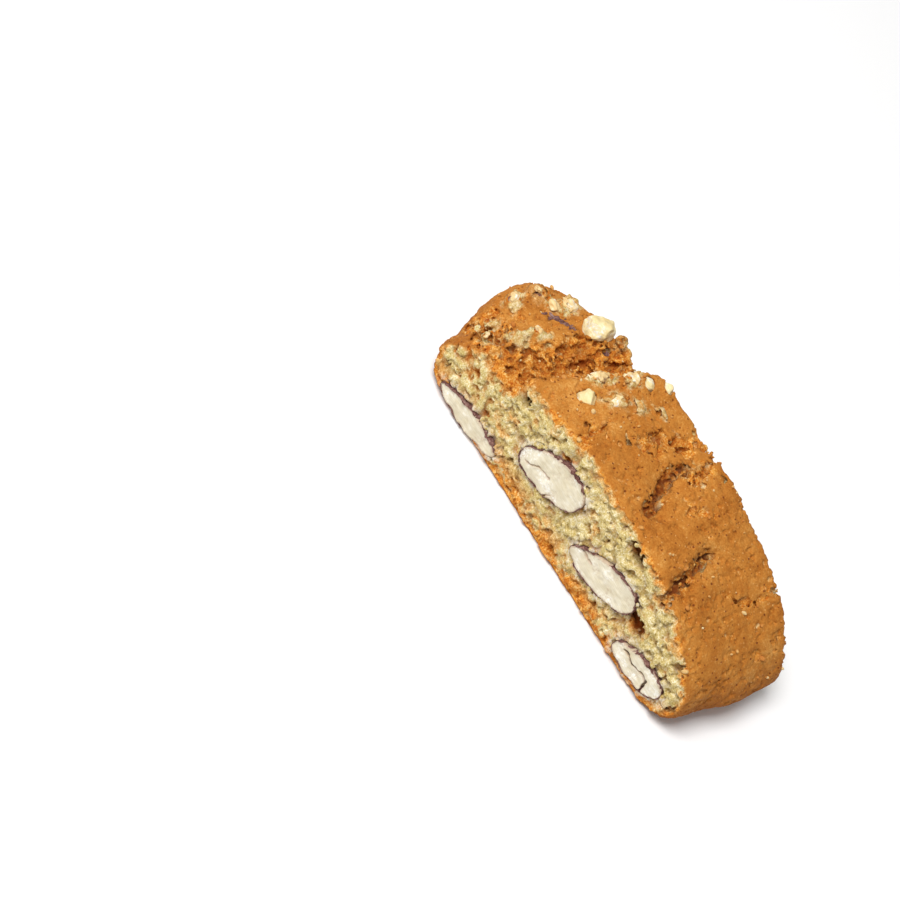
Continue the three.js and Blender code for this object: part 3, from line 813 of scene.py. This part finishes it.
class Recipe:
    """One material's node tree, built by nested calls. Sizes are in millimetres."""

    def __init__(self, name, roughness=0.9, specular=0.25):
        self.material = bpy.data.materials.new(name)
        self.material.use_nodes = True
        self.tree = self.material.node_tree
        self.shader = self.tree.nodes["Principled BSDF"]
        self.shader.inputs["Roughness"].default_value = roughness
        self.shader.inputs["Specular IOR Level"].default_value = specular
        self.place = self.tree.nodes.new("ShaderNodeTexCoord").outputs["Object"]

    def node(self, kind, inputs, **settings):
        node = self.tree.nodes.new(kind)
        for name, value in settings.items():
            setattr(node, name, value)
        for name, value in inputs.items():
            self.feed(node.inputs[name], value)
        return node

    def feed(self, socket, value):
        if isinstance(value, bpy.types.NodeSocket):
            self.tree.links.new(value, socket)
        else:
            socket.default_value = value

    def attribute(self, name):
        return self.node("ShaderNodeAttribute", {}, attribute_name=name).outputs["Fac"]

    def axis(self, name):
        """One coordinate of the place, in millimetres."""
        split = self.node("ShaderNodeSeparateXYZ", {"Vector": self.place})
        return self.times(split.outputs[name], METRE)

    def plus(self, a, b):
        return self.node("ShaderNodeMath", {0: a, 1: b}, operation="ADD").outputs[0]

    def times(self, a, b):
        return self.node("ShaderNodeMath", {0: a, 1: b}, operation="MULTIPLY").outputs[0]

    def without(self, share):
        """One less the share."""
        return self.node("ShaderNodeMath", {0: 1.0, 1: share}, operation="SUBTRACT").outputs[0]

    def noise(self, size, detail=3.0, roughness=0.55, stretch=None):
        place = self.place
        if stretch is not None:
            place = self.node("ShaderNodeMapping", {"Vector": place, "Scale": stretch}).outputs[0]
        inputs = {"Vector": place, "Scale": METRE / size, "Detail": detail, "Roughness": roughness}
        return self.node("ShaderNodeTexNoise", inputs).outputs["Fac"]

    def blend(self, *pairs):
        """A weighted sum of (value, weight) pairs."""
        total = self.times(*pairs[0])
        for value, weight in pairs[1:]:
            total = self.plus(total, self.times(value, weight))
        return total

    def dots(self, size, smallest, largest):
        """Scattered round dots of uneven radius, 1 inside and 0 outside. Radii are shares of the size."""
        cells = self.node("ShaderNodeTexVoronoi", {"Vector": self.place, "Scale": METRE / size})
        chance = self.node("ShaderNodeSeparateColor", {"Color": cells.outputs["Color"]}).outputs[0]
        radius = self.spread(chance, 0.0, 1.0, smallest, largest)
        past = self.node("ShaderNodeMath", {0: cells.outputs["Distance"], 1: radius}, operation="SUBTRACT")
        return self.spread(past.outputs[0], 0.06, -0.06)

    def spread(self, value, low, high, start=0.0, end=1.0):
        """The value from low to high, mapped evenly to start to end."""
        inputs = {"Value": value, "From Min": low, "From Max": high, "To Min": start, "To Max": end}
        return self.node("ShaderNodeMapRange", inputs).outputs["Result"]

    def ramp(self, value, *stops):
        """A colour for each value, from (place, display colour) pairs."""
        node = self.node("ShaderNodeValToRGB", {"Fac": value})
        elements = node.color_ramp.elements
        while len(elements) < len(stops):
            elements.new(0.5)
        for element, (place, colour) in zip(elements, stops):
            element.position = place
            element.color = linear(*colour)
        return node.outputs["Color"]

    def mix(self, share, a, b):
        node = self.node("ShaderNodeMix", {}, data_type="RGBA")
        self.feed(node.inputs[0], share)
        self.feed(node.inputs[6], a)
        self.feed(node.inputs[7], b)
        return node.outputs[2]

    def bump(self, height, size):
        inputs = {"Height": height, "Distance": size / METRE, "Strength": 1.0}
        return self.node("ShaderNodeBump", inputs).outputs["Normal"]

    def finish(self, colour, normal):
        self.feed(self.shader.inputs["Base Color"], colour)
        self.feed(self.shader.inputs["Normal"], normal)
        return self.material


def crust_colour(r, depth, broad, middle, fine, speck):
    """Browned crust: painted shade makes it darker low down, brown dots paint the shade of its pores, and a
    few dots are pale.
    """
    crust = r.ramp(r.blend((broad, 0.35), (middle, 0.2), (fine, 0.2), (speck, 0.25)),
                   (0.34, (140, 76, 16)), (0.45, (174, 106, 36)),
                   (0.54, (190, 124, 50)), (0.68, (222, 166, 90)))
    # painted shade: the crust darkens low down, near its surface
    low = r.times(r.spread(r.axis("Z"), 15.0, 3.0), r.spread(depth, 1.2, 0.2))
    crust = r.mix(r.times(low, 0.85), crust, linear(132, 72, 30))
    # painted shade: dark brown dots stand for the shade inside small pores
    crust = r.mix(r.times(r.dots(0.9, -0.2, 0.28), 0.9), crust, linear(110, 50, 14))
    return r.mix(r.times(r.dots(0.62, -0.5, 0.3), 0.5), crust, linear(224, 172, 104))


def hollow_shade_colour(r, depth, patches, skin, burst):
    """The colour of the painted shade in creases and pores, which depends on what is round them; near the
    crust it also takes the warmer brown of toasted crumb.
    """
    warm = r.spread(r.plus(depth, r.spread(patches, 0.35, 0.65, -2.0, 2.0)), 4.5, 2.5)
    shaded = r.mix(warm, linear(118, 84, 34), linear(154, 80, 22))
    shaded = r.mix(skin, shaded, linear(110, 50, 14))
    return r.mix(burst, shaded, linear(134, 58, 8))


def dough_material():
    r = Recipe("baked_dough", roughness=0.9, specular=0.2)
    depth, sunk, near_nut = r.attribute("depth"), r.attribute("sunk"), r.attribute("near_nut")
    burst, crease, pale = r.attribute("burst"), r.attribute("crease"), r.attribute("pale")
    crack = r.attribute("crack")
    broad, patches = r.noise(9.0, 2.0), r.noise(4.0, 3.0)
    middle, fine = r.noise(1.8, 4.0), r.noise(0.5, 3.0, 0.65)
    grain = r.blend((middle, 0.5), (fine, 0.5))
    speck = r.noise(0.32, 2.0, 0.6)

    crumb = r.ramp(r.blend((grain, 0.55), (speck, 0.45)), (0.34, (142, 114, 52)), (0.43, (188, 164, 96)),
                   (0.52, (212, 193, 136)), (0.64, (242, 234, 206)))
    toasted = r.ramp(r.blend((grain, 0.6), (speck, 0.4)), (0.35, (136, 62, 10)), (0.44, (190, 104, 26)),
                     (0.53, (218, 150, 58)), (0.64, (242, 212, 142)))
    crust = crust_colour(r, depth, broad, middle, fine, speck)

    wandering = r.plus(depth, r.spread(patches, 0.3, 0.7, -1.7, 1.7))
    base_edge = r.times(r.spread(r.axis("Z"), 8.0, 3.0), r.spread(patches, 0.44, 0.50))
    toast = r.node("ShaderNodeMath", {0: r.spread(wandering, 2.3, 0.6), 1: base_edge}, operation="MAXIMUM")
    colour = r.mix(toast.outputs[0], crumb, toasted)
    torn = r.mix(r.times(pale, r.spread(middle, 0.33, 0.45)), toasted, crumb)
    colour = r.mix(burst, colour, torn)
    skin = r.times(r.spread(depth, 0.8, 0.45), r.without(burst))
    crust = r.mix(r.times(pale, r.spread(middle, 0.36, 0.5)), crust, crumb)
    colour = r.mix(skin, colour, crust)
    dust = r.times(r.spread(near_nut, 2.2, 0.3), r.spread(middle, 0.40, 0.56, 0.0, 0.85))
    colour = r.mix(r.times(dust, r.spread(speck, 0.36, 0.5)), colour, linear(208, 198, 186))

    # painted shade: the dough darkens in its creases and where the surface is sunk below the plain outline
    hollow = r.spread(r.blend((crease, 0.55), (sunk, 0.35)), 0.34, 1.1, 0.0, 0.95)
    colour = r.mix(hollow, colour, hollow_shade_colour(r, depth, patches, skin, burst))
    # painted shade: the open cracks are darkened along their depth
    colour = r.mix(r.times(crack, 0.85), colour, linear(98, 42, 10))
    rough = r.blend((fine, 0.6), (r.noise(0.22, 2.0), 0.4))
    return r.finish(colour, r.bump(rough, 0.32))


def almond_material(name, light, dark, skin_share):
    """Cut almond flesh. A share of it is still covered by skin."""
    r = Recipe(name, roughness=0.62, specular=0.35)
    rim, groove = r.attribute("rim"), r.attribute("groove")
    cloud, fine = r.noise(3.0, 3.0), r.noise(0.4, 3.0, 0.65)
    scratches = r.noise(0.5, 2.0, 0.6, (0.25, 0.25, 2.2))
    mottle = r.spread(r.blend((cloud, 0.6), (scratches, 0.4)), 0.36, 0.66)
    flesh = r.mix(mottle, linear(*dark), linear(*light))
    chalk = r.times(r.spread(cloud, 0.52, 0.62), r.spread(fine, 0.46, 0.6))
    flesh = r.mix(chalk, flesh, linear(236, 233, 224))
    near_rim = r.plus(rim, r.spread(fine, 0.3, 0.7, -0.25, 0.25))
    flesh = r.mix(r.spread(near_rim, 0.5, 0.05, 0.0, 0.6), flesh, linear(168, 136, 112))
    # darker brown in the grooves: painted shade in the creases, and the nut's own reddish-brown streak in
    # almond_3
    flesh = r.mix(r.times(groove, 0.6), flesh, linear(146, 98, 66))
    skin = r.ramp(fine, (0.35, (92, 52, 40)), (0.65, (140, 92, 68)))
    flesh = r.mix(r.spread(cloud, skin_share + 0.03, skin_share - 0.03), flesh, skin)
    return r.finish(flesh, r.bump(r.blend((scratches, 0.6), (fine, 0.4)), 0.10))


def skin_material():
    r = Recipe("almond_skin", roughness=0.8, specular=0.25)
    streaks, fine = r.noise(1.2, 3.0), r.noise(0.35, 3.0, 0.65)
    colour = r.ramp(r.blend((streaks, 0.5), (fine, 0.5)), (0.34, (62, 34, 32)), (0.46, (98, 62, 56)),
                    (0.58, (138, 104, 96)), (0.72, (190, 170, 160)))
    return r.finish(colour, r.bump(fine, 0.12))


def crumb_material():
    r = Recipe("loose_crumb", roughness=0.9, specular=0.2)
    fine = r.noise(0.3, 2.0)
    colour = r.ramp(r.attribute("shade"), (0.0, (178, 106, 42)), (0.4, (200, 136, 66)),
                    (0.75, (214, 168, 100)), (1.0, (228, 208, 156)))
    colour = r.mix(r.spread(fine, 0.4, 0.7, 0.0, 0.4), colour, linear(160, 100, 44))
    return r.finish(colour, r.bump(fine, 0.08))


# ---------------------------------------------------------------------------------------------
# Scene
# ---------------------------------------------------------------------------------------------


def make_camera():
    azimuth, elevation = math.radians(CAMERA_AZIMUTH), math.radians(CAMERA_ELEVATION)
    back = Vector((
        math.sin(azimuth) * math.cos(elevation),
        -math.cos(azimuth) * math.cos(elevation),
        math.sin(elevation),
    ))
    level = back.to_track_quat("Z", "Y").to_matrix().to_4x4()
    roll = Matrix.Rotation(math.radians(CAMERA_ROLL), 4, "Z")
    camera_data = bpy.data.cameras.new("camera")
    camera_data.lens = FOCAL_LENGTH
    camera = bpy.data.objects.new("camera", camera_data)
    place = (Vector(AIM_FROM_BASE_CENTRE) + back * CAMERA_DISTANCE) / METRE
    camera.matrix_world = Matrix.Translation(place) @ level @ roll
    bpy.context.scene.collection.objects.link(camera)
    bpy.context.scene.camera = camera


def make_floor():
    half = FLOOR_SIZE / 2
    corners = [(-half, -half, 0), (half, -half, 0), (half, half, 0), (-half, half, 0)]
    floor = new_object("floor", corners, [(0, 1, 2, 3)])
    r = Recipe("pale_floor", roughness=0.8)
    r.shader.inputs["Base Color"].default_value = linear(246, 246, 246)
    floor.data.materials.append(r.material)


def add_area_light(name, direction, distance, size, power):
    light_data = bpy.data.lights.new(name, "AREA")
    light_data.energy = power
    light_data.size = size / METRE
    light = bpy.data.objects.new(name, light_data)
    toward = Vector(direction).normalized()
    turned = toward.to_track_quat("Z", "Y").to_matrix().to_4x4()
    light.matrix_world = Matrix.Translation(toward * distance / METRE) @ turned
    bpy.context.scene.collection.objects.link(light)


def make_light():
    add_area_light("key", (-0.15, -0.42, 0.90), 900, 420, 8.0)
    add_area_light("fill", (-0.70, -0.50, 0.45), 900, 700, 1.4)
    world = bpy.data.worlds.new("studio")
    world.use_nodes = True
    background = world.node_tree.nodes["Background"]
    background.inputs["Color"].default_value = (1.0, 0.99, 0.98, 1.0)
    background.inputs["Strength"].default_value = 0.36
    bpy.context.scene.world = world
    bpy.context.scene.view_settings.view_transform = "Standard"


def slice_volume():
    low, high = box_of("biscuit")
    return Volume(low - MARGIN, high + MARGIN, CELL)


def add_piece(thing, material, replaced=None):
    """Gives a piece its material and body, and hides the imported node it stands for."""
    thing.data.materials.append(material)
    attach(thing, "root")
    if replaced is not None:
        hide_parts(replaced)


make_camera()
make_floor()
make_light()

random = np.random.default_rng(SEED)
volume = slice_volume()
fields = make_fields(volume, random)

dough = make_dough(volume, fields, random)
paint_dough(dough, volume, fields)
add_piece(dough, dough_material(), "biscuit")

flesh_material = almond_material("almond_flesh", (228, 221, 202), (202, 190, 160), 0.0)
chip_material = almond_material("broken_almond", (238, 224, 178), (216, 190, 128), 0.33)
for name in ALMONDS:
    add_piece(make_almond(name, volume, fields), flesh_material, name)
for name in CHIPS:
    add_piece(make_chip(name, volume, fields), chip_material, name)
bit_material = almond_material("pale_bits", (240, 222, 172), (212, 170, 104), 0.40)
add_piece(make_bits(volume, fields, random), bit_material)
add_piece(make_skins(volume, fields), skin_material())
add_piece(make_crumbs(dough, random), crumb_material())

bpy.context.view_layer.update()
